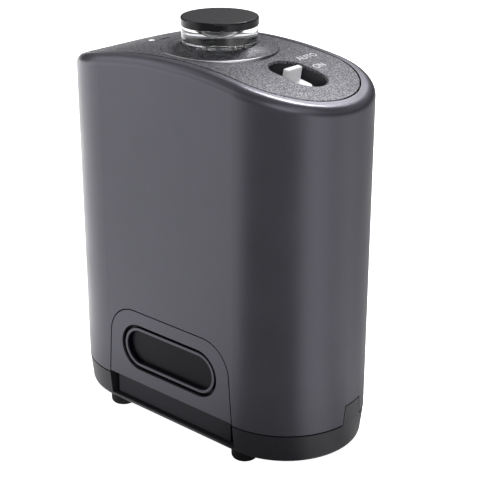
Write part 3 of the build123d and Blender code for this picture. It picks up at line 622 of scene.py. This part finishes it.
class BEACON_OT_indicator(BeaconOperator, bpy.types.Operator):
    """Finishes the indicator and prints the cell mark beside it"""

    bl_idname = "beacon.indicator"
    bl_label = "Indicator"

    def execute(self, context):
        colours = context.scene.beacon_colours
        sizes = context.scene.beacon_sizes
        pipe = moulded_finish("pipe_milky", colours.pipe, rough=0.25, grain=900.0, depth=0.005 * MM, shade=0.03)
        wear("indicator_light_pipe", pipe.material)
        ink = moulded_finish("dark_ink", colours.dark_ink, 0.7, Specular_IOR_Level=0.05).material
        form = bmesh.new()
        corners = bmesh.ops.create_grid(form, x_segments=1, y_segments=1, size=0.5)
        stretch_mark = Matrix.Diagonal((sizes.mark_length, sizes.mark_height, 1.0, 1.0))
        bmesh.ops.transform(form, matrix=stretch_mark, verts=corners["verts"])
        inner = bmesh.ops.inset_region(
            form, faces=form.faces[:], thickness=sizes.mark_line, use_boundary=True, use_even_offset=True
        )
        middle = [face for face in form.faces if face not in inner["faces"]]
        bmesh.ops.delete(form, geom=middle, context="FACES")
        nub = bmesh.ops.create_grid(form, x_segments=1, y_segments=1, size=0.5)
        nub_place = Matrix.Translation((sizes.mark_length / 2 + sizes.mark_line, 0.0, 0.0))
        nub_size = Matrix.Diagonal((2 * sizes.mark_line, sizes.mark_height / 2, 1.0, 1.0))
        bmesh.ops.transform(form, matrix=nub_place @ nub_size, verts=nub["verts"])
        raised = bmesh.ops.extrude_face_region(form, geom=form.faces[:])
        tops = [item for item in raised["geom"] if isinstance(item, bmesh.types.BMVert)]
        bmesh.ops.translate(form, vec=(0.0, 0.0, sizes.print_depth), verts=tops)
        bmesh.ops.recalc_face_normals(form, faces=form.faces[:])
        bmesh.ops.transform(form, matrix=panel_frame(sizes.mark_x, sizes.mark_y), verts=form.verts[:])
        bmesh_piece("cell_mark", form, ink, "housing")
        return {"FINISHED"}


class BEACON_OT_inner_works(BeaconOperator, bpy.types.Operator):
    """Finishes the circuit board, cells, contacts, screws and black mouldings inside"""

    bl_idname = "beacon.inner_works"
    bl_label = "Inner works"

    def execute(self, context):
        colours = context.scene.beacon_colours
        black = moulded_finish("inner_black", colours.inner, 0.48).material
        for node in ("slide_switch_body", "battery_chassis", "board_components", "beam_tube"):
            wear(node, black)
        steel = steel_finish(colours)
        contacts = ("positive_contact", "negative_contact", "bridge_contact")
        for node in (*contacts, "latch_pin", "board_screws", "chassis_screws"):
            wear(node, steel)
        wear("circuit_board", board_finish(colours))
        low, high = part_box("battery_cell_1")
        sleeve = sleeve_finish(colours, low[2], high[2])
        wear("battery_cell_1", sleeve)
        wear("battery_cell_2", sleeve)
        wear("beam_led", lens_finish("small_led_epoxy", colours, 0.1))
        wear("indicator_led", moulded_finish("led_white", colours.small_led, 0.3, shade=0.05).material)
        window = moulded_finish("window_dark", colours.window, rough=0.1, spread=0.03, depth=0.002 * MM)
        wear("beam_window", window.material)
        return {"FINISHED"}


class BEACON_OT_feet(BeaconOperator, bpy.types.Operator):
    """Finishes the four rubber feet"""

    bl_idname = "beacon.feet"
    bl_label = "Rubber feet"

    def execute(self, context):
        black = context.scene.beacon_colours.rubber
        rubber = moulded_finish("foot_rubber", black, 0.62, grain=1800.0, depth=0.03 * MM, Specular_IOR_Level=0.2)
        for number in range(1, 5):
            wear(f"rubber_foot_{number}", rubber.material)
        return {"FINISHED"}


class BEACON_OT_stage(BeaconOperator, bpy.types.Operator):
    """Builds the pale floor, the soft lights and the camera"""

    bl_idname = "beacon.stage"
    bl_label = "Studio stage"

    def soft_light(self, scene, name, azimuth, elevation, distance, width, height, power):
        """Area light turned to the beacon's middle; azimuth 0 is in front of the tongue, 90 at the switch."""
        turn = math.radians(azimuth)
        rise = math.radians(elevation)
        away = Vector((math.sin(turn) * math.cos(rise), -math.cos(turn) * math.cos(rise), math.sin(rise)))
        lamp = bpy.data.lights.new(name, "AREA")
        lamp.shape = "RECTANGLE"
        lamp.size = width
        lamp.size_y = height
        lamp.energy = power
        holder = bpy.data.objects.new(name, lamp)
        holder.location = light_aim + away * distance
        holder.rotation_euler = (-away).to_track_quat("-Z", "Y").to_euler()
        holder.visible_camera = False
        scene.collection.objects.link(holder)

    def seen_straight(self, tree):
        """1 where the camera looks straight or through clear plastic, 0 for light that bounces."""
        rays = place(tree, "ShaderNodeLightPath")
        unbounced = calc(tree, "LESS_THAN", rays.outputs["Glossy Depth"], 0.5)
        through = calc(tree, "MULTIPLY", rays.outputs["Is Transmission Ray"], unbounced)
        return calc(tree, "MAXIMUM", rays.outputs["Is Camera Ray"], through)

    def table_glow(self, tree):
        """Light of the table round the switch end: bright at the sides, dark in front, with painted shade close to
        the case.
        """
        spot = place(tree, "ShaderNodeTexCoord").outputs["Object"]
        shifted = place(tree, "ShaderNodeVectorMath", {0: spot, 1: (end_centre, 0.0, 0.0)}, operation="SUBTRACT")
        flat = place(tree, "ShaderNodeSeparateXYZ", {0: shifted.outputs[0]})
        front = calc(tree, "MULTIPLY", flat.outputs["Y"], -1.0)
        turn = calc(tree, "ARCTAN2", flat.outputs["X"], front)
        share = stretch(tree, turn, 0.0, 1.0, -math.pi, math.pi)
        level = ramp(tree, share, [((angle + 180) / 360, level) for angle, level in table_levels])
        # Painted shade: the table's light is dimmed close to the case, which shades the table there
        painted_near_shade = stretch(tree, self.way_from_case(tree, spot), 0.45, 1.0, 6 * MM, 45 * MM)
        return calc(tree, "MULTIPLY", level, painted_near_shade)

    def way_from_case(self, tree, spot):
        """Distance on the floor from the case's outline."""
        flat = place(tree, "ShaderNodeSeparateXYZ", {0: spot})
        side = calc(tree, "ABSOLUTE", flat.outputs["X"])
        past = calc(tree, "SUBTRACT", side, end_centre)
        beyond = calc(tree, "MAXIMUM", past, 0.0)
        reach = place(tree, "ShaderNodeCombineXYZ", {"X": beyond, "Y": flat.outputs["Y"]}).outputs[0]
        length = place(tree, "ShaderNodeVectorMath", {0: reach}, operation="LENGTH").outputs["Value"]
        return calc(tree, "SUBTRACT", length, end_radius)

    def floor(self, scene, stage):
        """Pale floor that looks white, and lights the beacon as a studio table does."""
        form = bmesh.new()
        bmesh.ops.create_grid(form, x_segments=4, y_segments=4, size=floor_reach)
        mesh = bpy.data.meshes.new("studio_floor")
        form.to_mesh(mesh)
        form.free()
        floor = bpy.data.objects.new("studio_floor", mesh)
        scene.collection.objects.link(floor)
        pale = moulded_finish("floor_pale", stage.floor, 0.7, grain=300.0, shade=0.01)
        pale.shader.inputs["Emission Color"].default_value = (1.0, 1.0, 1.0, 1.0)
        pale.shader.inputs["Emission Strength"].default_value = stage.floor_glow
        glow = {"Color": self.table_glow(pale.tree), "Strength": stage.table_light}
        bounce = place(pale.tree, "ShaderNodeEmission", glow)
        both = place(pale.tree, "ShaderNodeMixShader", {0: self.seen_straight(pale.tree), 1: bounce.outputs[0]})
        pale.tree.links.new(pale.shader.outputs[0], both.inputs[2])
        pale.tree.links.new(both.outputs[0], pale.tree.nodes["Material Output"].inputs["Surface"])
        mesh.materials.append(pale.material)

    def room(self, scene, stage):
        """White room to the eye; its light is a soft band above the horizon."""
        world = bpy.data.worlds.new("studio_room")
        world.use_nodes = True
        tree = world.node_tree
        sky = tree.nodes["Background"]
        direction = place(tree, "ShaderNodeTexCoord").outputs["Generated"]
        rise = place(tree, "ShaderNodeSeparateXYZ", {0: direction}).outputs["Z"]
        level = ramp(tree, rise, room_levels)
        lit = calc(tree, "MULTIPLY", level, stage.room_light)
        strength = calc(tree, "MAXIMUM", lit, self.seen_straight(tree))
        sky.inputs["Color"].default_value = (1.0, 1.0, 1.0, 1.0)
        tree.links.new(strength, sky.inputs["Strength"])
        scene.world = world

    def camera(self, scene, stage):
        """Camera at the photo's view."""
        lens = bpy.data.cameras.new("photo_view")
        lens.lens = stage.focal
        lens.sensor_width = 36.0
        lens.clip_start = 0.01
        view = bpy.data.objects.new("photo_view", lens)
        view.location = stage.camera_place
        direction = Vector(stage.camera_aim) - Vector(stage.camera_place)
        view.rotation_euler = direction.to_track_quat("-Z", "Y").to_euler()
        scene.collection.objects.link(view)
        scene.camera = view

    def execute(self, context):
        scene = context.scene
        stage = scene.beacon_stage
        self.floor(scene, stage)
        self.room(scene, stage)
        for name, *where in studio_lights:
            self.soft_light(scene, f"{name}_light", *where, getattr(stage, f"{name}_power"))
        self.camera(scene, stage)
        scene.view_settings.view_transform = "Standard"
        return {"FINISHED"}


build_order = (
    BEACON_OT_case,
    BEACON_OT_panel,
    BEACON_OT_emitter,
    BEACON_OT_switch,
    BEACON_OT_indicator,
    BEACON_OT_inner_works,
    BEACON_OT_feet,
    BEACON_OT_stage,
)


class BEACON_PT_steps(bpy.types.Panel):
    """Lists the steps that dress the beacon"""

    bl_idname = "BEACON_PT_steps"
    bl_label = "Virtual wall beacon"
    bl_space_type = "VIEW_3D"
    bl_region_type = "UI"
    bl_category = PANEL_TAB

    def draw(self, context):
        for step in build_order:
            self.layout.operator(step.bl_idname)


classes = (BeaconSizes, BeaconColours, BeaconStage, *build_order, BEACON_PT_steps)


def register():
    for cls in classes:
        bpy.utils.register_class(cls)
    bpy.types.Scene.beacon_sizes = PointerProperty(type=BeaconSizes)
    bpy.types.Scene.beacon_colours = PointerProperty(type=BeaconColours)
    bpy.types.Scene.beacon_stage = PointerProperty(type=BeaconStage)


def unregister():
    del bpy.types.Scene.beacon_stage
    del bpy.types.Scene.beacon_colours
    del bpy.types.Scene.beacon_sizes
    for cls in reversed(classes):
        bpy.utils.unregister_class(cls)


def main():
    register()
    bpy.ops.beacon.case()
    bpy.ops.beacon.panel()
    bpy.ops.beacon.emitter()
    bpy.ops.beacon.switch()
    bpy.ops.beacon.indicator()
    bpy.ops.beacon.inner_works()
    bpy.ops.beacon.feet()
    bpy.ops.beacon.stage()


if __name__ == "__main__":
    main()
